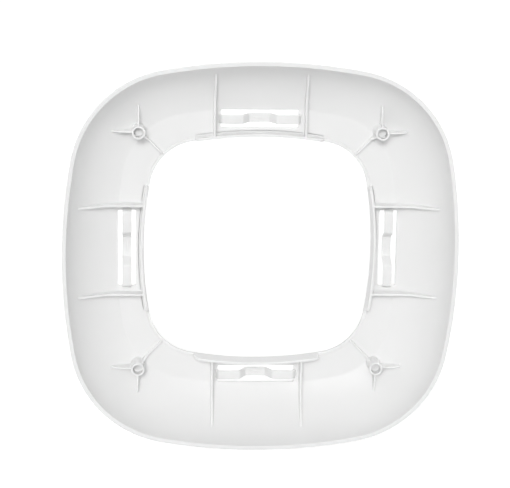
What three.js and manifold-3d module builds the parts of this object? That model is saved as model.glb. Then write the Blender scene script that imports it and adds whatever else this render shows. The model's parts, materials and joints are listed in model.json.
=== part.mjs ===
// Clip-on trim ring of a ceiling access point, open back towards -Y.
// Millimetres. X runs to the right, Z up, and +Y from the open rim to the room-side face.
// The origin is on the ring's axis, halfway between the rim and the tops of the straps' humps.
// "Depth" is the distance from the rim plane along +Y.
// "Half size" is the distance from the ring's axis to an outline at the middle of one side.

import * as THREE from 'three';
import { mergeVertices } from 'three/addons/utils/BufferGeometryUtils.js';
import Module from 'manifold-3d';

const wasm = await Module();
wasm.setup();

// ---------------------------------------------------------------- driving dimensions

const RIM_HALF = 100;
const OPENING_HALF = 58.7;
const ORIGIN_DEPTH = 17.2;

// Every outline is four shallow side arcs and four corner arcs, given here as shares of its half size.
const RIM_SHAPE = { side: 2.8, corner: 0.563 };
const OPENING_SHAPE = { side: 3.36, corner: 0.445 };
const SIDE_STEPS = 10;
const CORNER_STEPS = 15;

// Wall section: a bowl from the rim to the crease, then a flat floor to the opening.
const RIM_WIDTH = 2.1;
const CREASE_HALF = 73;
const FLOOR_DEPTH = 28.7;
const FRONT_DEPTH = 31;
const BOWL_STEPS = 9;
const BOWL_INNER_PULLS = [[97.3, 10], [90.3, 23.2]];
const BOWL_OUTER_PULLS = [[99.6, 10.8], [92.2, 25.4]];

// Low lip all round the opening's back edge.
const LIP_WALL = 1.3;
const LIP_DEPTH = 28.1;

// The lip rises to a collar at the middle of each side.
const COLLAR_HALF_LENGTH = 32;
const COLLAR_WALL = 1.3;
const COLLAR_DRAFT = 0.6;
const COLLAR_DEPTH = 21;
const COLLAR_END_RADIUS = 3.5;

// Two ribs beside each window, level with the collar and then falling to the bowl.
const RIB_OFFSET = 23.2;
const RIB_WALL = 1;
const RIB_BEND_HALF = 79;
const RIB_BOW = 0.6;
const RIB_END = { half: 92.9, depth: 14.2 };

// Windows in the floor, each bridged by a spring strap.
const WINDOW_CENTRE = 67.4;
const WINDOW_HALF_LENGTH = 19.9;
const WINDOW_WIDTH = 9.2;
const WINDOW_RADIUS = 0.8;

// Screw bosses in the corners, each braced by two outward gussets and one towards the opening.
const BOSS_CENTRE = 61.7;
const BOSS_RADIUS = 3.4;
const BOSS_BORE_RADIUS = 2.45;
const BOSS_DEPTH = 16.4;
const BORE_END_DEPTH = 21.4;
const BOSS_STEPS = 32;
const GUSSET_WALL = 0.8;
const GUSSET_DEPTH = 19.1;
const GUSSET_FLAT = 9.3;
const GUSSET_REACH = 13.6;
const GUSSET_END_DEPTH = 21.8;
const BRACE_WALL = 0.8;
const BRACE_TOP_DEPTH = 21.5;
const BRACE_LOW_DEPTH = 26;
const BRACE_DROP = 7;
const BRACE_FLAT = 16.2;
const BRACE_REACH = 18;

// Spring straps: a band that dips towards the back twice and humps out through the window.
const STRAP_WIDTH = 4.6;
const STRAP_THICKNESS = 1.2;
const STRAP_BEND_RADIUS = 1;
const BEND_STEP = 0.25;
const CROWN_BEND_RADIUS = 10;
const CROWN = { depth: 34, shoulder: 5.6, shoulderDepth: 32.9 };
const LOBE = { inner: 8.8, outer: 18.6, depth: 26.2 };
const FOOT = { start: 19.3, flat: 19.5, end: 21.5, depth: 29, width: 6 };
const FIT_GAP = 0.3;

// Shapes that cut or trim run this far past the surface they cut.
const OVERSHOOT = 5;

// ---------------------------------------------------------------- solids

function toManifold(geometry) {
  const bare = geometry.clone();
  bare.deleteAttribute('normal');
  bare.deleteAttribute('uv');
  const welded = mergeVertices(bare, 1e-4);
  return new wasm.Manifold(new wasm.Mesh({
    numProp: 3,
    vertProperties: new Float32Array(welded.attributes.position.array),
    triVerts: new Uint32Array(welded.index.array),
  }));
}

function toGeometry(solid) {
  const mesh = solid.getMesh();
  const geometry = new THREE.BufferGeometry();
  geometry.setAttribute('position', new THREE.BufferAttribute(new Float32Array(mesh.vertProperties), 3));
  geometry.setIndex(new THREE.BufferAttribute(new Uint32Array(mesh.triVerts), 1));
  return geometry;
}

function joined(solids) {
  return solids.reduce((whole, solid) => whole.add(solid));
}

function box(low, high) {
  const size = high.map((value, axis) => value - low[axis]);
  const geometry = new THREE.BoxGeometry(...size);
  geometry.translate(...low.map((value, axis) => value + size[axis] / 2));
  return geometry;
}

// A cylinder along the ring's axis, between two depths.
function post(radius, from, to) {
  const geometry = new THREE.CylinderGeometry(radius, radius, to - from, BOSS_STEPS);
  return geometry.translate(0, (from + to) / 2, 0);
}

// A flat outline in (X, depth), given its thickness along Z about a centre.
function plate(shape, thickness, centre) {
  const settings = { depth: thickness, bevelEnabled: false, curveSegments: 5 };
  const geometry = new THREE.ExtrudeGeometry(shape, settings);
  return geometry.translate(0, 0, centre - thickness / 2);
}

// Copies of a solid made for the +Z side, turned about the ring's axis onto all four sides.
function onFourSides(solid) {
  return [0, 90, 180, 270].map((angle) => solid.rotate([0, angle, 0]));
}

// ---------------------------------------------------------------- outlines

// Points of the outline with the given half size, anticlockwise seen from the open back.
function outline(half) {
  const share = (half - OPENING_HALF) / (RIM_HALF - OPENING_HALF);
  const side = half * THREE.MathUtils.lerp(OPENING_SHAPE.side, RIM_SHAPE.side, share);
  const corner = half * THREE.MathUtils.lerp(OPENING_SHAPE.corner, RIM_SHAPE.corner, share);
  const back = side - half;
  // The corner arc is centred at (c, c), where both arcs are tangent.
  const c = (Math.sqrt(2 * (side - corner) ** 2 - back ** 2) - back) / 2;
  const turn = Math.atan2(c, c + back);
  const points = [];
  for (let quarter = 0; quarter < 4; quarter += 1) {
    const heading = quarter * Math.PI / 2;
    const place = (x, z) => points.push(new THREE.Vector2(x, z).rotateAround(new THREE.Vector2(), heading));
    for (let i = 0; i < SIDE_STEPS; i += 1) {
      const angle = -turn + 2 * turn * i / SIDE_STEPS;
      place(side * Math.cos(angle) - back, side * Math.sin(angle));
    }
    for (let i = 0; i < CORNER_STEPS; i += 1) {
      const angle = turn + (Math.PI / 2 - 2 * turn) * i / CORNER_STEPS;
      place(c + corner * Math.cos(angle), c + corner * Math.sin(angle));
    }
  }
  return points;
}

// A closed ring whose section is a loop of (half size, depth) points,
// listed so that the outer side runs from the rim to the front.
function ring(section) {
  const loops = section.map((point) => outline(point.x).map((p) => new THREE.Vector3(p.x, point.y, p.y)));
  const count = loops[0].length;
  const index = [];
  loops.forEach((loop, i) => {
    const nextLoop = (i + 1) % loops.length;
    loop.forEach((point, j) => {
      const nextPoint = (j + 1) % count;
      const a = i * count + j;
      const b = nextLoop * count + j;
      const c = nextLoop * count + nextPoint;
      const d = i * count + nextPoint;
      index.push(a, b, c, a, c, d);
    });
  });
  const geometry = new THREE.BufferGeometry().setFromPoints(loops.flat());
  geometry.setIndex(index);
  return geometry;
}

function section(...points) {
  return points.map(([half, depth]) => new THREE.Vector2(half, depth));
}

// Bowl curve from the rim plane to the crease. "out" moves it from the inner skin to the outer one.
function bowl(out) {
  const inner = section([RIM_HALF - RIM_WIDTH, 0], ...BOWL_INNER_PULLS, [CREASE_HALF, FLOOR_DEPTH]);
  const outer = section([RIM_HALF, 0], ...BOWL_OUTER_PULLS, [CREASE_HALF, FRONT_DEPTH]);
  const controls = inner.map((point, i) => point.lerp(outer[i], out));
  return new THREE.CubicBezierCurve(...controls).getPoints(BOWL_STEPS);
}

// ---------------------------------------------------------------- cover shell

function wall() {
  return toManifold(ring([
    ...bowl(1),
    ...section(
      [OPENING_HALF, FRONT_DEPTH],
      [OPENING_HALF, LIP_DEPTH],
      [OPENING_HALF + LIP_WALL, LIP_DEPTH],
      [OPENING_HALF + LIP_WALL, FLOOR_DEPTH],
    ),
    ...bowl(0).reverse(),
  ]));
}

// Everything inside the bowl, down to the middle of the wall. Ribs, collars and bosses are
// trimmed with it, so that they root in the wall without breaking through the outer skin.
function hollow() {
  const middleDepth = (FLOOR_DEPTH + FRONT_DEPTH) / 2;
  return toManifold(ring([
    ...bowl(0.5),
    ...section([OPENING_HALF, middleDepth], [OPENING_HALF, 0]),
  ]));
}

function ribs() {
  const middleDepth = (FLOOR_DEPTH + FRONT_DEPTH) / 2;
  const rootHalf = OPENING_HALF + COLLAR_DRAFT + COLLAR_WALL / 2;
  const band = toManifold(ring(section(
    [rootHalf, COLLAR_DEPTH],
    [RIB_BEND_HALF, COLLAR_DEPTH],
    [(RIB_BEND_HALF + RIB_END.half) / 2, (COLLAR_DEPTH + RIB_END.depth) / 2 - RIB_BOW],
    [RIB_END.half, RIB_END.depth],
    [RIM_HALF, RIB_END.depth],
    [RIM_HALF, middleDepth],
    [rootHalf, middleDepth],
  )));
  const slabs = [-RIB_OFFSET, RIB_OFFSET].map((x) => toManifold(box(
    [x - RIB_WALL / 2, 0, OPENING_HALF - OVERSHOOT],
    [x + RIB_WALL / 2, FRONT_DEPTH, RIM_HALF],
  )));
  return onFourSides(joined(slabs)).map((pair) => pair.intersect(band));
}

function collars() {
  const band = toManifold(ring(section(
    [OPENING_HALF + COLLAR_DRAFT + COLLAR_WALL, COLLAR_DEPTH],
    [OPENING_HALF + COLLAR_DRAFT + COLLAR_WALL, FRONT_DEPTH],
    [OPENING_HALF, FRONT_DEPTH],
    [OPENING_HALF, LIP_DEPTH],
    [OPENING_HALF + COLLAR_DRAFT, COLLAR_DEPTH],
  )));
  const face = new THREE.Shape();
  const corner = COLLAR_HALF_LENGTH - COLLAR_END_RADIUS;
  const cornerDepth = COLLAR_DEPTH + COLLAR_END_RADIUS;
  face.moveTo(-COLLAR_HALF_LENGTH, FRONT_DEPTH);
  face.lineTo(-COLLAR_HALF_LENGTH, cornerDepth);
  face.absarc(-corner, cornerDepth, COLLAR_END_RADIUS, Math.PI, Math.PI * 1.5, false);
  face.absarc(corner, cornerDepth, COLLAR_END_RADIUS, Math.PI * 1.5, Math.PI * 2, false);
  face.lineTo(COLLAR_HALF_LENGTH, FRONT_DEPTH);
  const slab = toManifold(plate(face, 2 * (COLLAR_WALL + OVERSHOOT), OPENING_HALF));
  return onFourSides(slab).map((side) => side.intersect(band));
}

// A thin upright web along +X from a boss centre, from its free edge down to the front.
function web(edge, thickness) {
  const shape = new THREE.Shape();
  const reach = edge[edge.length - 1][0];
  shape.moveTo(0, FRONT_DEPTH);
  edge.forEach(([distance, depth]) => shape.lineTo(distance, depth));
  shape.lineTo(reach, FRONT_DEPTH);
  return toManifold(plate(shape, thickness, 0));
}

function boss() {
  const gusset = web([
    [0, GUSSET_DEPTH],
    [GUSSET_FLAT, GUSSET_DEPTH],
    [GUSSET_REACH, GUSSET_END_DEPTH],
  ], GUSSET_WALL);
  const brace = web([
    [0, BRACE_TOP_DEPTH],
    [BOSS_RADIUS, BRACE_TOP_DEPTH],
    [BRACE_DROP, BRACE_LOW_DEPTH],
    [BRACE_FLAT, BRACE_LOW_DEPTH],
    [BRACE_REACH, LIP_DEPTH],
  ], BRACE_WALL);
  const body = toManifold(post(BOSS_RADIUS, BOSS_DEPTH, FRONT_DEPTH));
  const parts = [body, gusset, gusset.rotate([0, -90, 0]), brace.rotate([0, 135, 0])];
  return joined(parts).translate([BOSS_CENTRE, 0, BOSS_CENTRE]);
}

function bore() {
  return toManifold(post(BOSS_BORE_RADIUS, 0, BORE_END_DEPTH)).translate([BOSS_CENTRE, 0, BOSS_CENTRE]);
}

// A window with rounded corners, and a shallow seat at each end for the strap's feet.
function strapWindow() {
  const halfWidth = WINDOW_WIDTH / 2;
  const shape = new THREE.Shape();
  const x = WINDOW_HALF_LENGTH - WINDOW_RADIUS;
  const y = halfWidth - WINDOW_RADIUS;
  shape.absarc(x, y, WINDOW_RADIUS, 0, Math.PI / 2, false);
  shape.absarc(-x, y, WINDOW_RADIUS, Math.PI / 2, Math.PI, false);
  shape.absarc(-x, -y, WINDOW_RADIUS, Math.PI, Math.PI * 1.5, false);
  shape.absarc(x, -y, WINDOW_RADIUS, Math.PI * 1.5, Math.PI * 2, false);
  const wallDepth = FRONT_DEPTH - FLOOR_DEPTH;
  const through = plate(shape, 2 * (wallDepth + OVERSHOOT), 0);
  through.rotateX(Math.PI / 2).translate(0, FRONT_DEPTH, WINDOW_CENTRE);
  const seatHalfWidth = FOOT.width / 2 + FIT_GAP;
  const seatEnd = FOOT.end + FIT_GAP;
  const seat = box(
    [-seatEnd, FLOOR_DEPTH - OVERSHOOT, WINDOW_CENTRE - seatHalfWidth],
    [seatEnd, FOOT.depth + STRAP_THICKNESS / 2 + FIT_GAP, WINDOW_CENTRE + seatHalfWidth],
  );
  return toManifold(through).add(toManifold(seat));
}

function coverShell() {
  const details = joined([...ribs(), ...collars(), ...onFourSides(boss())]).intersect(hollow());
  const cuts = joined([...onFourSides(strapWindow()), ...onFourSides(bore())]);
  return toGeometry(wall().add(details).subtract(cuts));
}

// ---------------------------------------------------------------- spring straps

// Outline of a band of even thickness along a line of corners, with every bend rounded.
// Each corner is [x, depth, bend radius]; the two ends have no radius.
function bandShape(corners, thickness) {
  const sides = [[], []];
  const half = thickness / 2;
  const points = section(...corners);
  const direction = (i) => points[i + 1].clone().sub(points[i]).normalize();
  const add = (centre, normal, distance) => {
    sides[0].push(centre.clone().addScaledVector(normal, distance + half));
    sides[1].push(centre.clone().addScaledVector(normal, distance - half));
  };
  const leftOf = (d) => new THREE.Vector2(-d.y, d.x);
  add(points[0], leftOf(direction(0)), 0);
  for (let i = 1; i < points.length - 1; i += 1) {
    const before = direction(i - 1);
    const after = direction(i);
    const bend = Math.asin(before.cross(after));
    const radius = corners[i][2] * Math.sign(bend);
    const start = points[i].clone().addScaledVector(before, -Math.abs(radius * Math.tan(bend / 2)));
    const centre = start.addScaledVector(leftOf(before), radius);
    const steps = Math.max(2, Math.round(Math.abs(bend) / BEND_STEP));
    for (let k = 0; k <= steps; k += 1) {
      const normal = leftOf(before).rotateAround(new THREE.Vector2(), bend * k / steps);
      add(centre, normal, -radius);
    }
  }
  add(points[points.length - 1], leftOf(direction(points.length - 2)), 0);
  return new THREE.Shape([...sides[0], ...sides[1].reverse()]);
}

function springStrap() {
  const half = [
    [CROWN.shoulder, CROWN.shoulderDepth, STRAP_BEND_RADIUS],
    [LOBE.inner, LOBE.depth, STRAP_BEND_RADIUS],
    [LOBE.outer, LOBE.depth, STRAP_BEND_RADIUS],
    [FOOT.start, FOOT.depth, STRAP_BEND_RADIUS],
    [FOOT.end, FOOT.depth, 0],
  ];
  const mirrored = half.map(([x, depth, radius]) => [-x, depth, radius]).reverse();
  const centreLine = [...mirrored, [0, CROWN.depth, CROWN_BEND_RADIUS], ...half];
  const band = toManifold(plate(bandShape(centreLine, STRAP_THICKNESS), STRAP_WIDTH, WINDOW_CENTRE));
  const feet = [-1, 1].map((side) => {
    const ends = [side * FOOT.flat, side * FOOT.end].sort((a, b) => a - b);
    return toManifold(box(
      [ends[0], FOOT.depth - STRAP_THICKNESS / 2, WINDOW_CENTRE - FOOT.width / 2],
      [ends[1], FOOT.depth + STRAP_THICKNESS / 2, WINDOW_CENTRE + FOOT.width / 2],
    ));
  });
  return toGeometry(joined([band, ...feet]));
}

// ---------------------------------------------------------------- assembly

function whitePlastic(roughness) {
  return new THREE.MeshStandardMaterial({ color: 0xf1f2f2, roughness, metalness: 0 });
}

const group = new THREE.Group();
group.position.y = -ORIGIN_DEPTH;

const shell = new THREE.Mesh(coverShell(), whitePlastic(0.35));
shell.name = 'cover_shell';
group.add(shell);

const STRAP_SIDES = { top: 0, right: 90, bottom: 180, left: 270 };
const strapGeometry = springStrap();
for (const [side, angle] of Object.entries(STRAP_SIDES)) {
  const strap = new THREE.Mesh(strapGeometry, whitePlastic(0.25));
  strap.name = `spring_strap_${side}`;
  strap.rotation.y = THREE.MathUtils.degToRad(angle);
  group.add(strap);
}

export default group;
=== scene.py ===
import json
import math

import bmesh
import bpy
import numpy as np
from mathutils import Matrix, Vector


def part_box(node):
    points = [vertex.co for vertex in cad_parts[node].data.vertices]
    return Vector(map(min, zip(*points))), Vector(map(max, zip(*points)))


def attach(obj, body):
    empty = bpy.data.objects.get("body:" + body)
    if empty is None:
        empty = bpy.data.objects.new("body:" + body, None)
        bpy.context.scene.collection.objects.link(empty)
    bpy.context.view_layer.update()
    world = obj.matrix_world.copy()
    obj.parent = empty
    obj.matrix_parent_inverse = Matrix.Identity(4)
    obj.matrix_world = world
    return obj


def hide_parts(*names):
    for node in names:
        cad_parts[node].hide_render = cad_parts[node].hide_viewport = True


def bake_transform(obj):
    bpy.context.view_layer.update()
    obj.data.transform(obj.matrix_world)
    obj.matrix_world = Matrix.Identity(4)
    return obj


# Looks of the clip-on trim ring of a ceiling access point. Metres, in the CAD's frame: X runs to
# the right, Z up and +Y from the open rim to the room-side face. "Depth" is the distance from the
# rim plane along +Y, "half size" the distance from the ring's axis to an outline's side.

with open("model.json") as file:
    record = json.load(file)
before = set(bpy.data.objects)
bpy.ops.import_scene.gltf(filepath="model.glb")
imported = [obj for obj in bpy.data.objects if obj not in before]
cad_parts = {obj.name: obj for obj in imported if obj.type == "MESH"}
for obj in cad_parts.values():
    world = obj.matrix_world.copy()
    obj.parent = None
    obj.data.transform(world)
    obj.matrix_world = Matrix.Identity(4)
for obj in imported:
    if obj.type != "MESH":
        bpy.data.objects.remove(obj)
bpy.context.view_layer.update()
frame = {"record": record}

# ---------------------------------------------------------------- places and sizes

MM = 0.001
shell_low, shell_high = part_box("cover_shell")
strap_low, strap_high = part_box("spring_strap_top")
boss_top = {mount["name"]: mount for mount in frame["record"]["mounts"]}["boss_top_right"]["pos_m"]

RIM_PLANE = shell_low.y
RIM_HALF = shell_high.x
FRONT_DEPTH = shell_high.y - RIM_PLANE
BOSS_CENTRE = boss_top[2]
BOSS_DEPTH = boss_top[1] - RIM_PLANE
WINDOW_CENTRE = (strap_low.z + strap_high.z) / 2

# Radii of the side and corner arcs of an outline, as shares of its half size.
OPENING_HALF = 58.7 * MM
RIM_SHAPE = (2.8, 0.563)
OPENING_SHAPE = (3.36, 0.445)
SIDE_STEPS = 26
CORNER_STEPS = 30

# The shell's section: a flat floor out to the crease, then a bowl drawn as Bezier curves whose two
# middle control points are (half size, depth).
WALL = 2.3 * MM
FLOOR_DEPTH = FRONT_DEPTH - WALL
RIM_WIDTH = 2.1 * MM
CREASE_HALF = 73 * MM
BOWL_STEPS = 34
BOWL_INNER_PULLS = ((97.3 * MM, 10 * MM), (90.3 * MM, 23.2 * MM))
BOWL_OUTER_PULLS = ((99.6 * MM, 10.8 * MM), (92.2 * MM, 25.4 * MM))
CREASE_RADIUS = 4 * MM
RIM_EDGE = 0.4 * MM
OPENING_EDGE = 0.4 * MM

LIP_WALL = 1.3 * MM
LIP_DEPTH = FLOOR_DEPTH - 0.6 * MM
COLLAR_DEPTH = 21 * MM
COLLAR_DRAFT = 0.6 * MM
COLLAR_HALF_LENGTH = 32 * MM
COLLAR_END_RADIUS = 3.5 * MM
COLLAR_END_RUN = 0.3 * MM

# The rounding of free edges, the fillets where details stand on the skin and how far they sink in.
# A detail too low for both has them cut to shares of its height.
EDGE = 0.22 * MM
ROOT = 0.45 * MM
COLLAR_ROOT = 1.0 * MM
SINK = 0.9 * MM
LEAST_HEIGHT = 0.02 * MM
LOW_EDGE_SHARE = 0.4
LOW_ROOT_SHARE = 0.5
QUARTER_TURN = [(math.sin(b), math.cos(b)) for b in np.linspace(0, math.pi / 2, 5)]

# A free edge is a line of (half size or distance from the boss, depth, bend radius), in millimetres.
RIB_OFFSET = 23.2 * MM
RIB_WALL = 1.0 * MM
RIB_EDGE = ((56, 21, 0), (79, 21, 9), (86, 17, 30), (93.2, 14.1, 0))
RIB_STEPS = 60

WINDOW_HALF_LENGTH = 19.9 * MM
WINDOW_WIDTH = 9.2 * MM
WINDOW_RADIUS = 0.8 * MM
WINDOW_EDGE = 0.3 * MM
CUTTER_OVERRUN = 2 * MM

BOSS_RADIUS = 3.4 * MM
BOSS_DRAFT = 0.1 * MM
BOSS_BORE_RADIUS = 2.45 * MM
BORE_END_DEPTH = 21.4 * MM
BORE_FLOOR_EDGE = 0.4 * MM
BOSS_STEPS = 72

WEB_START = 2.9
GUSSET_WALL = 0.8 * MM
GUSSET_EDGE = ((0, 19.1, 0), (9.3, 19.1, 1.5), (13.6, 21.8, 0))
BRACE_WALL = 0.8 * MM
BRACE_EDGE = ((0, 21.5, 0), (3.6, 21.5, 0.6), (7, 26, 1.5), (16.2, 26, 1), (18, 28.2, 0))
WEB_STEPS = 30

# Half of a strap's middle line, as (distance from the middle, depth, bend radius) in millimetres.
STRAP_WIDTH = 4.6 * MM
STRAP_THICKNESS = 1.2 * MM
STRAP_EDGE = 0.3 * MM
STRAP_LINE = ((0, 34.2, 19), (5.6, 32.9, 1.4), (8.8, 26.5, 1.2), (13.7, 25.8, 14), (19.2, 26.4, 1),
              (20.6, 29.4, 0))
STRAP_STEP = 0.4 * MM
RIDGE_HALF_LENGTH = 2.7 * MM
RIDGE_HALF_WIDTH = 0.3 * MM
RIDGE_HEIGHT = 0.25 * MM
SIDES = {"top": 0, "right": 90, "bottom": 180, "left": 270}


# ---------------------------------------------------------------- outlines and sections

def outline_arcs(half):
    """An outline's side and corner radii, its arc centres and the half angle of its sides.

    The side's centre lies "back" behind the axis, and the corner's at (centre, centre).
    """
    share = (half - OPENING_HALF) / (RIM_HALF - OPENING_HALF)
    side = half * (OPENING_SHAPE[0] + share * (RIM_SHAPE[0] - OPENING_SHAPE[0]))
    corner = half * (OPENING_SHAPE[1] + share * (RIM_SHAPE[1] - OPENING_SHAPE[1]))
    back = side - half
    centre = (np.sqrt(2 * (side - corner) ** 2 - back ** 2) - back) / 2
    return side, corner, back, centre, np.arctan2(centre, centre + back)


def outline(half, spot):
    """Points (x, z) on outlines of the given half sizes.

    A spot's whole part counts the sides from +X, its first half runs along the side and the rest
    along the corner after it.
    """
    side, corner, back, centre, turn = outline_arcs(half)
    quarter = np.floor(spot + 1e-9)
    part = 2 * (spot - quarter)
    along_side = turn * (2 * part - 1)
    along_corner = turn + (math.pi / 2 - 2 * turn) * (part - 1)
    on_side = part < 1
    x = np.where(on_side, side * np.cos(along_side) - back, centre + corner * np.cos(along_corner))
    z = np.where(on_side, side * np.sin(along_side), centre + corner * np.sin(along_corner))
    heading = quarter * math.pi / 2
    return x * np.cos(heading) - z * np.sin(heading), x * np.sin(heading) + z * np.cos(heading)


def half_size_at(x, z):
    """Half size of the outline through each point (x, z)."""
    far, near = np.maximum(abs(x), abs(z)), np.minimum(abs(x), abs(z))
    low, high = np.full(np.shape(x), 0.3 * RIM_HALF), np.full(np.shape(x), 1.1 * RIM_HALF)
    for _ in range(40):
        half = (low + high) / 2
        side, corner, back, centre, turn = outline_arcs(half)
        on_side = np.arctan2(near, far + back) < turn
        outside = np.where(on_side, np.hypot(far + back, near) > side,
                           np.hypot(far - centre, near - centre) > corner)
        low, high = np.where(outside, half, low), np.where(outside, high, half)
    return (low + high) / 2


def rounded(corners, steps=8):
    """Points of a line of corners (a, b, bend radius), with each bend as an arc."""
    points = [np.array(corner[:2], float) for corner in corners]
    line = [points[0]]
    for i in range(1, len(points) - 1):
        before = points[i] - points[i - 1]
        after = points[i + 1] - points[i]
        before, after = before / np.linalg.norm(before), after / np.linalg.norm(after)
        bend = math.atan2(before[0] * after[1] - before[1] * after[0], before @ after)
        radius = corners[i][2]
        if radius == 0 or abs(bend) < 1e-6:
            line.append(points[i])
            continue
        start = points[i] - before * radius * math.tan(abs(bend) / 2)
        normal = np.array([-before[1], before[0]]) * math.copysign(radius, bend)
        for k in range(steps + 1):
            angle = bend * k / steps
            spoke = np.array([normal[0] * math.cos(angle) - normal[1] * math.sin(angle),
                              normal[0] * math.sin(angle) + normal[1] * math.cos(angle)])
            line.append(start + normal - spoke)
    line.append(points[-1])
    return np.array(line)


def bezier(start, pull, push, end, steps):
    """Points of the cubic Bezier curve with these four control points."""
    t = np.linspace(0, 1, steps + 1)[:, None]
    start, pull, push, end = (np.array(p, float) for p in (start, pull, push, end))
    return (1 - t) ** 3 * start + 3 * (1 - t) ** 2 * t * pull + 3 * (1 - t) * t ** 2 * push + t ** 3 * end


def corners_of(points):
    """The points as corners without a bend radius."""
    return [(*point, 0) for point in points]


def skin_line():
    """Half sizes and depths from the opening's front edge round the rim and back to the floor by the lip."""
    outer = bezier((RIM_HALF, 0), *BOWL_OUTER_PULLS, (CREASE_HALF, FRONT_DEPTH), BOWL_STEPS)[::-1]
    inner = bezier((RIM_HALF - RIM_WIDTH, 0), *BOWL_INNER_PULLS, (CREASE_HALF, FLOOR_DEPTH), BOWL_STEPS)
    return rounded([
        (OPENING_HALF, FRONT_DEPTH - 2 * OPENING_EDGE, 0),
        (OPENING_HALF, FRONT_DEPTH, OPENING_EDGE),
        (*outer[0], CREASE_RADIUS),
        *corners_of(outer[1:-1]),
        (*outer[-1], RIM_EDGE),
        (*inner[0], RIM_EDGE),
        *corners_of(inner[1:-1]),
        (*inner[-1], CREASE_RADIUS),
        (OPENING_HALF + 2 * LIP_WALL, FLOOR_DEPTH, 0),
    ])


SKIN = skin_line()
PAST_RIM = SKIN[np.argmax(SKIN[:, 0]):]
INNER_SKIN = PAST_RIM[PAST_RIM[:, 0] < RIM_HALF - RIM_WIDTH][::-1]


def inner_depth(x, z):
    """Depth of the shell's inner skin at points (x, z)."""
    return np.interp(half_size_at(x, z), INNER_SKIN[:, 0], INNER_SKIN[:, 1])


# ---------------------------------------------------------------- meshes

def in_frame(x, depth, z):
    """Points in the frame from X, depth and Z."""
    return np.stack(np.broadcast_arrays(x, RIM_PLANE + depth, z), axis=-1)


def turned(points, angle):
    """Points made for the +Z side, turned about the ring's axis like a clock's hand."""
    c, s = math.cos(math.radians(angle)), math.sin(math.radians(angle))
    x, y, z = points[..., 0], points[..., 1], points[..., 2]
    return np.stack([x * c + z * s, y, z * c - x * s], axis=-1)


def add_rings(mesh, rings, capped=True):
    """Joins closed loops of points, one after the other, into a tube with end caps, or into a closed ring."""
    loops = [[mesh.verts.new(point) for point in ring] for ring in rings]
    count = len(loops[0])
    pairs = list(zip(loops, loops[1:]))
    if capped:
        mesh.faces.new(loops[0][::-1])
        mesh.faces.new(loops[-1])
    else:
        pairs.append((loops[-1], loops[0]))
    for first, second in pairs:
        for i in range(count):
            j = (i + 1) % count
            mesh.faces.new((first[i], first[j], second[j], second[i]))


def finished(mesh, name):
    """Turns a bmesh into an object in the scene."""
    bmesh.ops.recalc_face_normals(mesh, faces=mesh.faces)
    data = bpy.data.meshes.new(name)
    mesh.to_mesh(data)
    mesh.free()
    thing = bpy.data.objects.new(name, data)
    bpy.context.scene.collection.objects.link(thing)
    return thing


def solid(name, tubes, capped=True):
    """An object made of tubes, each a list of rings."""
    mesh = bmesh.new()
    for rings in tubes:
        add_rings(mesh, rings, capped)
    return finished(mesh, name)


def cut_or_join(thing, other, operation):
    modifier = thing.modifiers.new(operation, "BOOLEAN")
    modifier.operation = operation
    modifier.solver = "MANIFOLD"
    modifier.object = other
    apply_modifiers(thing)
    bpy.data.objects.remove(other)


def apply_modifiers(thing):
    """Bakes the modifiers and drops the empty material slots that booleans leave."""
    evaluated = thing.evaluated_get(bpy.context.evaluated_depsgraph_get())
    data = bpy.data.meshes.new_from_object(evaluated)
    thing.modifiers.clear()
    data.materials.clear()
    thing.data = data


def smooth(thing, angle=32):
    """Smooth shading that keeps edges above the angle crisp and flat faces flat."""
    mesh = bmesh.new()
    mesh.from_mesh(thing.data)
    for face in mesh.faces:
        face.smooth = True
    for edge in mesh.edges:
        edge.smooth = len(edge.link_faces) == 2 and edge.calc_face_angle(0) < math.radians(angle)
    mesh.to_mesh(thing.data)
    mesh.free()
    weighted = thing.modifiers.new("even_normals", "WEIGHTED_NORMAL")
    weighted.keep_sharp = True


# ---------------------------------------------------------------- shell

def outline_spots():
    """Spots round the outlines, closer at the collars' ends, and their distances from the sides' middles."""
    side, _, _, _, turn = outline_arcs(OPENING_HALF)
    reach = side * math.sin(turn)
    round_end = COLLAR_END_RADIUS * np.sin(np.linspace(0, math.pi / 2, 9))
    near_end = COLLAR_HALF_LENGTH - COLLAR_END_RADIUS + round_end
    past_end = COLLAR_HALF_LENGTH + COLLAR_END_RUN * np.linspace(0.25, 1, 4)
    even = np.linspace(-reach, reach, SIDE_STEPS + 1)[:-1]
    even = even[abs(even) < near_end[0] - 0.5 * MM]
    places = np.sort(np.concatenate([[-reach], even, near_end, -near_end, past_end, -past_end]))
    side_parts = (np.arcsin(places / side) / turn + 1) / 4
    corner_parts = 0.5 + 0.5 * np.arange(CORNER_STEPS) / CORNER_STEPS
    spots = np.concatenate([quarter + np.concatenate([side_parts, corner_parts]) for quarter in range(4)])
    places = np.tile(np.concatenate([places, np.full(CORNER_STEPS, RIM_HALF)]), 4)
    return spots, places


def collar_top(place):
    """Depth of the lip's and collar's free edge at a distance from the side's middle."""
    over = np.clip(abs(place) - COLLAR_HALF_LENGTH + COLLAR_END_RADIUS, 0, COLLAR_END_RADIUS)
    edge = COLLAR_DEPTH + COLLAR_END_RADIUS - np.sqrt(COLLAR_END_RADIUS ** 2 - over ** 2)
    past = np.clip((abs(place) - COLLAR_HALF_LENGTH) / COLLAR_END_RUN, 0, 1)
    past = past * past * (3 - 2 * past)
    return edge + (LIP_DEPTH - edge) * past


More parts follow.
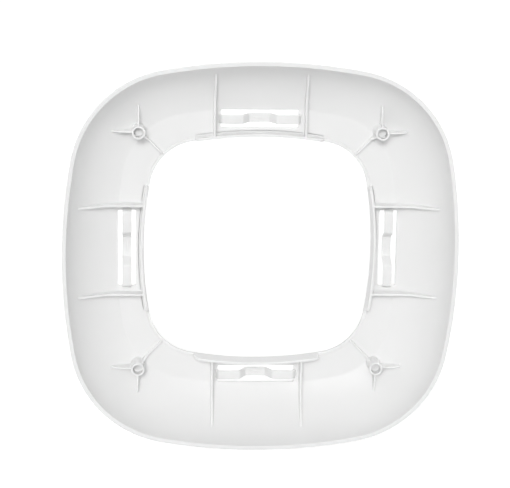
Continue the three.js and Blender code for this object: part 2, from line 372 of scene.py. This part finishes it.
def collar_rings(spots, places):
    """Loops over the lip and collars, from the floor outside them to the opening's inner face."""
    top = collar_top(places)

    def inner_half(depth):
        return OPENING_HALF + COLLAR_DRAFT * np.clip((LIP_DEPTH - depth) / (LIP_DEPTH - COLLAR_DEPTH), 0, 1)

    height = FLOOR_DEPTH - top
    root = np.minimum(COLLAR_ROOT, LOW_EDGE_SHARE * height)
    edge = np.minimum(EDGE, LOW_EDGE_SHARE * height)
    outer = inner_half(top) + LIP_WALL
    rings = []
    for sine, cosine in QUARTER_TURN:
        rings.append((outer + root * (1 - sine), FLOOR_DEPTH - root * (1 - cosine)))
    for sine, cosine in QUARTER_TURN:
        rings.append((outer - edge * (1 - cosine), top + edge * (1 - sine)))
    for sine, cosine in QUARTER_TURN:
        depth = top + edge * (1 - cosine)
        rings.append((inner_half(depth) + edge * (1 - sine), depth))
    rings.append((inner_half(LIP_DEPTH), np.maximum(LIP_DEPTH, top + 2 * edge)))
    return rings


def shell_wall():
    """The bare bowl with its lip and collars, as one closed ring of loops."""
    spots, places = outline_spots()
    rings = [(np.full(len(spots), half), np.full(len(spots), depth)) for half, depth in SKIN]
    rings += collar_rings(spots, places)
    loops = []
    for half, depth in rings:
        x, z = outline(half, spots)
        loops.append(in_frame(x, depth, z))
    return solid("cover_shell_moulding", [loops], capped=False)


def fin_section(half_wall, top, height):
    """A web's section: offsets from its middle, depths, and which depths count from the inner skin."""
    edge = min(EDGE, LOW_EDGE_SHARE * height)
    root = min(ROOT, LOW_ROOT_SHARE * height)
    right = [(half_wall + root, SINK, True)]
    for sine, cosine in QUARTER_TURN:
        right.append((half_wall + root * (1 - sine), -root * (1 - cosine), True))
    for sine, cosine in QUARTER_TURN:
        right.append((half_wall - edge * (1 - cosine), top + edge * (1 - sine), False))
    left = [(-offset, depth, on_skin) for offset, depth, on_skin in right[::-1]]
    offsets, depths, on_skin = zip(*right, *left)
    return np.array(offsets), np.array(depths), np.array(on_skin)


def fin(start, direction, distances, top_depths, thickness, round_end=False):
    """Loops of an upright web along a line on the inner skin, with its far end round if asked."""
    start, direction = np.array(start, float), np.array(direction, float)
    lateral = np.array([-direction[1], direction[0]])
    rings = []
    for distance, top in zip(distances, top_depths):
        base = start + direction * distance
        height = max(float(inner_depth(base[0], base[1])) - top, LEAST_HEIGHT)
        shrink = 0.0
        if round_end:
            over = min(max(distance - (distances[-1] - EDGE), 0), EDGE)
            shrink = EDGE - math.sqrt(EDGE ** 2 - over ** 2)
        offsets, depths, on_skin = fin_section(thickness / 2 - shrink, top + shrink, height)
        x, z = base[0] + lateral[0] * offsets, base[1] + lateral[1] * offsets
        depths = np.where(on_skin, depths + inner_depth(x, z), depths)
        rings.append(in_frame(x, depths, z))
    return rings


def side_height(half, offset):
    """z of the outline with this half size, at x = offset on the +Z side."""
    side, _, back, _, _ = outline_arcs(half)
    return np.sqrt(side ** 2 - offset ** 2) - back


def ribs():
    """Two ribs on each side, from the collar across the floor and up the bowl."""
    line = rounded(RIB_EDGE, steps=10) * MM
    halves = np.linspace(OPENING_HALF + COLLAR_DRAFT + LIP_WALL / 2, line[-1, 0], RIB_STEPS)
    tops = np.interp(halves, line[:, 0], line[:, 1])
    tubes = []
    for x in (-RIB_OFFSET, RIB_OFFSET):
        heights = side_height(halves, x)
        rib = fin((x, 0), (0, 1), heights, tops, RIB_WALL)
        tubes += [[turned(ring, angle) for ring in rib] for angle in SIDES.values()]
    return solid("ribs", tubes)


def web(edge_line, direction, thickness, round_end=False):
    """A web from the top right boss outwards, under a free edge given in millimetres."""
    line = rounded(edge_line, steps=6)
    distances = np.unique(np.concatenate([np.linspace(WEB_START, line[-1, 0], WEB_STEPS), line[1:, 0]]))
    distances = distances[distances >= WEB_START]
    if round_end:
        ends = line[-1, 0] - EDGE / MM * np.array([1, 0.8, 0.5, 0.25, 0.1, 0.02])
        distances = np.unique(np.concatenate([distances[distances < ends[0]], ends, line[-1:, 0]]))
    tops = np.interp(distances, line[:, 0], line[:, 1])
    centre = (BOSS_CENTRE, BOSS_CENTRE)
    return fin(centre, direction, distances * MM, tops * MM, thickness, round_end)


def webs():
    """Two gussets and a brace at each boss."""
    diagonal = -math.sqrt(0.5)
    corner = [
        web(GUSSET_EDGE, (1, 0), GUSSET_WALL, round_end=True),
        web(GUSSET_EDGE, (0, 1), GUSSET_WALL, round_end=True),
        web(BRACE_EDGE, (diagonal, diagonal), BRACE_WALL),
    ]
    tubes = [[turned(ring, angle) for ring in rings] for rings in corner for angle in SIDES.values()]
    return solid("webs", tubes)


def bosses():
    """Four hollow bosses, each from the bore's floor over its top and down to the skin."""
    around = np.linspace(0, 2 * math.pi, BOSS_STEPS, endpoint=False)
    foot = BOSS_RADIUS + BOSS_DRAFT
    section = []
    for sine, cosine in QUARTER_TURN:
        radius = BOSS_BORE_RADIUS - BORE_FLOOR_EDGE * (1 - sine)
        section.append((radius, BORE_END_DEPTH - BORE_FLOOR_EDGE * (1 - cosine), False))
    for sine, cosine in QUARTER_TURN:
        section.append((BOSS_BORE_RADIUS + EDGE * (1 - cosine), BOSS_DEPTH + EDGE * (1 - sine), False))
    for sine, cosine in QUARTER_TURN:
        section.append((BOSS_RADIUS - EDGE * (1 - sine), BOSS_DEPTH + EDGE * (1 - cosine), False))
    for sine, cosine in QUARTER_TURN:
        section.append((foot + ROOT * (1 - cosine), -ROOT * (1 - sine), True))
    section.append((foot + ROOT, SINK, True))
    rings = []
    for radius, depth, on_skin in section:
        x, z = BOSS_CENTRE + radius * np.cos(around), BOSS_CENTRE + radius * np.sin(around)
        depths = depth + inner_depth(x, z) if on_skin else np.full(BOSS_STEPS, depth)
        rings.append(in_frame(x, depths, z))
    return solid("bosses", [[turned(ring, angle) for ring in rings] for angle in SIDES.values()])


def rounded_rectangle(half_length, half_width, radius, steps=8):
    """Points round a rectangle with round corners, from the right side on."""
    points = []
    for quarter in range(4):
        sign_x = (1, -1, -1, 1)[quarter]
        sign_z = (1, 1, -1, -1)[quarter]
        for k in range(steps + 1):
            angle = (quarter + k / steps) * math.pi / 2
            points.append((sign_x * (half_length - radius) + radius * math.cos(angle),
                           sign_z * (half_width - radius) + radius * math.sin(angle)))
    return np.array(points)


def windows():
    """Cutters for the windows, flared at both faces so that the edges come out rounded."""
    levels = [(WINDOW_EDGE, FLOOR_DEPTH - CUTTER_OVERRUN)]
    for sine, cosine in QUARTER_TURN:
        levels.append((WINDOW_EDGE * (1 - sine), FLOOR_DEPTH + WINDOW_EDGE * (1 - cosine)))
    for sine, cosine in QUARTER_TURN:
        levels.append((WINDOW_EDGE * (1 - cosine), FRONT_DEPTH - WINDOW_EDGE * (1 - sine)))
    levels.append((WINDOW_EDGE, FRONT_DEPTH + CUTTER_OVERRUN))
    rings = []
    for grow, depth in levels:
        loop = rounded_rectangle(WINDOW_HALF_LENGTH + grow, WINDOW_WIDTH / 2 + grow, WINDOW_RADIUS + grow)
        rings.append(in_frame(loop[:, 0], depth, WINDOW_CENTRE + loop[:, 1]))
    return solid("windows", [[turned(ring, angle) for ring in rings] for angle in SIDES.values()])


def make_shell():
    shell = shell_wall()
    cut_or_join(shell, windows(), "DIFFERENCE")
    for detail in (ribs(), bosses(), webs()):
        cut_or_join(shell, detail, "UNION")
    smooth(shell)
    return shell


# ---------------------------------------------------------------- straps

def spaced(line, step):
    """The line with points added so that none lie further apart than the step."""
    points = [line[0]]
    for start, end in zip(line, line[1:]):
        count = max(1, math.ceil(np.linalg.norm(end - start) / step))
        points += [start + (end - start) * k / count for k in range(1, count + 1)]
    return np.array(points)


def strap_section():
    """A strap's section as (across, through), with spots for the ridge on the face towards the rim."""
    corner_points = rounded_rectangle(STRAP_WIDTH / 2, STRAP_THICKNESS / 2, STRAP_EDGE, steps=4)
    ridge_spots = [(across * RIDGE_HALF_WIDTH, -STRAP_THICKNESS / 2) for across in np.linspace(-1.2, 1.2, 9)]
    split = len(corner_points) * 3 // 4
    return np.array([*corner_points[:split], *ridge_spots, *corner_points[split:]])


def strap_half(side, hand):
    """Half of a strap, from its middle to the end that runs into the floor past the window."""
    line = rounded([(-STRAP_LINE[1][0], STRAP_LINE[1][1], 0), *STRAP_LINE], steps=8)
    line = spaced(line[line[:, 0] > -1e-6] * MM, STRAP_STEP)
    heading = np.gradient(line, axis=0)
    heading[0] = (1, 0)
    heading /= np.linalg.norm(heading, axis=1)[:, None]
    across, through = strap_section().T
    on_ridge = np.clip(1 - (across / RIDGE_HALF_WIDTH) ** 2, 0, 1) * (through <= -STRAP_THICKNESS / 2)
    rings = []
    for (x, depth), (run, rise) in zip(line, heading):
        fade = np.clip((RIDGE_HALF_LENGTH - x) / RIDGE_HALF_WIDTH, 0, 1)
        height = through - RIDGE_HEIGHT * on_ridge * fade
        points = in_frame(hand * (x - rise * height), depth + run * height, WINDOW_CENTRE + across)
        rings.append(turned(points, SIDES[side]))
    hand_name = "a" if hand < 0 else "b"
    half = solid(f"strap_{side}_{hand_name}", [rings])
    smooth(half)
    return half


def blend_strap(half, side, hand):
    """Bakes the half's placement into its mesh; its foot by the shell and its middle are worked out but not
    used.
    """
    foot = turned(in_frame(hand * WINDOW_HALF_LENGTH, FLOOR_DEPTH, WINDOW_CENTRE), SIDES[side])
    middle = turned(in_frame(0, FLOOR_DEPTH, WINDOW_CENTRE), SIDES[side])
    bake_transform(half)


# ---------------------------------------------------------------- materials

PLASTIC_DARKER = (0.80, 0.802, 0.80, 1)
PLASTIC_LIGHTER = (0.825, 0.825, 0.823, 1)
PLASTIC_GLOSS = 0.15
ROUGHNESS_SPREAD = 0.04
CLOUD_SCALE = 18
GRAIN_SCALE = 1800
GRAIN_STRENGTH = 0.04
GRAIN_HEIGHT = 0.03 * MM


def white_plastic(name, roughness, scatter):
    """Faintly clouded, fine-grained plastic that light enters to the scatter depth."""
    material = bpy.data.materials.new(name)
    material.use_nodes = True
    nodes, links = material.node_tree.nodes, material.node_tree.links
    shader = nodes["Principled BSDF"]
    place = nodes.new("ShaderNodeTexCoord")
    shader.inputs["Specular IOR Level"].default_value = PLASTIC_GLOSS
    shader.inputs["Subsurface Weight"].default_value = 1
    shader.inputs["Subsurface Radius"].default_value = (1, 1, 1)
    shader.inputs["Subsurface Scale"].default_value = scatter

    cloud = nodes.new("ShaderNodeTexNoise")
    cloud.inputs["Scale"].default_value = CLOUD_SCALE
    cloud.inputs["Detail"].default_value = 3
    links.new(place.outputs["Object"], cloud.inputs["Vector"])

    tint = nodes.new("ShaderNodeMixRGB")
    tint.inputs["Color1"].default_value = PLASTIC_DARKER
    tint.inputs["Color2"].default_value = PLASTIC_LIGHTER
    links.new(cloud.outputs["Fac"], tint.inputs["Fac"])
    links.new(tint.outputs["Color"], shader.inputs["Base Color"])

    gloss = nodes.new("ShaderNodeMapRange")
    gloss.inputs["To Min"].default_value = roughness - ROUGHNESS_SPREAD
    gloss.inputs["To Max"].default_value = roughness + ROUGHNESS_SPREAD
    links.new(cloud.outputs["Fac"], gloss.inputs["Value"])
    links.new(gloss.outputs["Result"], shader.inputs["Roughness"])

    grain = nodes.new("ShaderNodeTexNoise")
    grain.inputs["Scale"].default_value = GRAIN_SCALE
    grain.inputs["Detail"].default_value = 2
    links.new(place.outputs["Object"], grain.inputs["Vector"])
    bump = nodes.new("ShaderNodeBump")
    bump.inputs["Strength"].default_value = GRAIN_STRENGTH
    bump.inputs["Distance"].default_value = GRAIN_HEIGHT
    links.new(grain.outputs["Fac"], bump.inputs["Height"])
    links.new(bump.outputs["Normal"], shader.inputs["Normal"])
    return material


# ---------------------------------------------------------------- stage

# The photo's camera, solved from the ring's outlines: angles in degrees, the distance in metres from
# the rim's centre, the lens in millimetres.
VIEW_AZIMUTH = -4.11
VIEW_ELEVATION = 12.93
VIEW_ROLL = -0.97
VIEW_DISTANCE = 1.0066
VIEW_LENS = 141.4
VIEW_SHIFT = (-0.0127, 0.0322)


def make_camera():
    back = towards(VIEW_AZIMUTH, VIEW_ELEVATION)
    camera = bpy.data.objects.new("camera", bpy.data.cameras.new("camera"))
    bpy.context.scene.collection.objects.link(camera)
    camera.data.lens = VIEW_LENS
    camera.data.shift_x, camera.data.shift_y = VIEW_SHIFT
    camera.location = Vector((0, RIM_PLANE, 0)) + back * VIEW_DISTANCE
    right = Vector((0, 0, 1)).cross(back).normalized()
    upright = Matrix((right, back.cross(right), back)).transposed()
    camera.rotation_mode = "QUATERNION"
    camera.rotation_quaternion = (upright @ Matrix.Rotation(math.radians(-VIEW_ROLL), 3, "Z")).to_quaternion()
    bpy.context.scene.camera = camera


FLOOR_REACH = 6
FLOOR_COLOUR = (0.92, 0.92, 0.92, 1)
FLOOR_ROUGHNESS = 0.6
FLOOR_GLOW = 0.3
FLOOR_GAP = 0.25 * MM


def make_floor():
    """A pale floor for the camera only, so that the ring's own light comes from the world alone."""
    mesh = bmesh.new()
    bmesh.ops.create_grid(mesh, x_segments=1, y_segments=1, size=FLOOR_REACH)
    floor = finished(mesh, "floor")
    floor.location.z = shell_low.z - FLOOR_GAP
    floor.visible_diffuse = False
    floor.visible_glossy = False
    material = bpy.data.materials.new("floor_white")
    material.use_nodes = True
    shader = material.node_tree.nodes["Principled BSDF"]
    shader.inputs["Base Color"].default_value = FLOOR_COLOUR
    shader.inputs["Roughness"].default_value = FLOOR_ROUGHNESS
    shader.inputs["Specular IOR Level"].default_value = 0
    shader.inputs["Emission Color"].default_value = (1, 1, 1, 1)
    shader.inputs["Emission Strength"].default_value = FLOOR_GLOW
    floor.data.materials.append(material)


# Soft light from all round: its even part, how it leans along X, Y and Z, and one brighter patch
# up in front, with its direction in degrees, how sharply it falls off and its strength.
EVEN_LIGHT = 0.8
LIGHT_LEAN = (0.03, 0.35, -0.18)
PATCH_AZIMUTH = -8
PATCH_ELEVATION = 19.5
PATCH_SHARPNESS = 100
PATCH_STRENGTH = 30


def light_scene():
    world = bpy.data.worlds.new("studio")
    bpy.context.scene.world = world
    world.use_nodes = True
    nodes, links = world.node_tree.nodes, world.node_tree.links
    direction = nodes.new("ShaderNodeTexCoord").outputs["Generated"]
    nodes["Background"].inputs["Color"].default_value = (1, 1, 1, 1)

    def along(vector):
        product = nodes.new("ShaderNodeVectorMath")
        product.operation = "DOT_PRODUCT"
        product.inputs[1].default_value = vector
        links.new(direction, product.inputs[0])
        return product.outputs["Value"]

    def combined(operation, *values):
        math_node = nodes.new("ShaderNodeMath")
        math_node.operation = operation
        for socket, value in zip(math_node.inputs, values):
            if isinstance(value, (int, float)):
                socket.default_value = value
            else:
                links.new(value, socket)
        return math_node.outputs["Value"]

    soft = combined("ADD", along(LIGHT_LEAN), EVEN_LIGHT)
    facing = along(towards(PATCH_AZIMUTH, PATCH_ELEVATION))
    falloff = combined("EXPONENT", combined("MULTIPLY_ADD", facing, PATCH_SHARPNESS, -PATCH_SHARPNESS))
    strength = combined("MULTIPLY_ADD", falloff, PATCH_STRENGTH, soft)
    links.new(combined("MAXIMUM", strength, 0), nodes["Background"].inputs["Strength"])
    bpy.context.scene.view_settings.view_transform = "Standard"


def towards(azimuth, elevation):
    """The direction seen at these angles in degrees, where azimuth 0 faces the open rim."""
    azimuth, elevation = math.radians(azimuth), math.radians(elevation)
    across = math.cos(elevation)
    return Vector((math.sin(azimuth) * across, -math.cos(azimuth) * across, math.sin(elevation)))


# ---------------------------------------------------------------- build

shell_plastic = white_plastic("shell_plastic", roughness=0.34, scatter=0.5 * MM)
strap_plastic = white_plastic("strap_plastic", roughness=0.3, scatter=0.3 * MM)

shell = make_shell()
shell.data.materials.append(shell_plastic)
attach(shell, "cover")
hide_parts("cover_shell")

for side in SIDES:
    for hand in (-1, 1):
        half = strap_half(side, hand)
        half.data.materials.append(strap_plastic)
        blend_strap(half, side, hand)
        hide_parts(f"spring_strap_{side}")

make_floor()
light_scene()
make_camera()
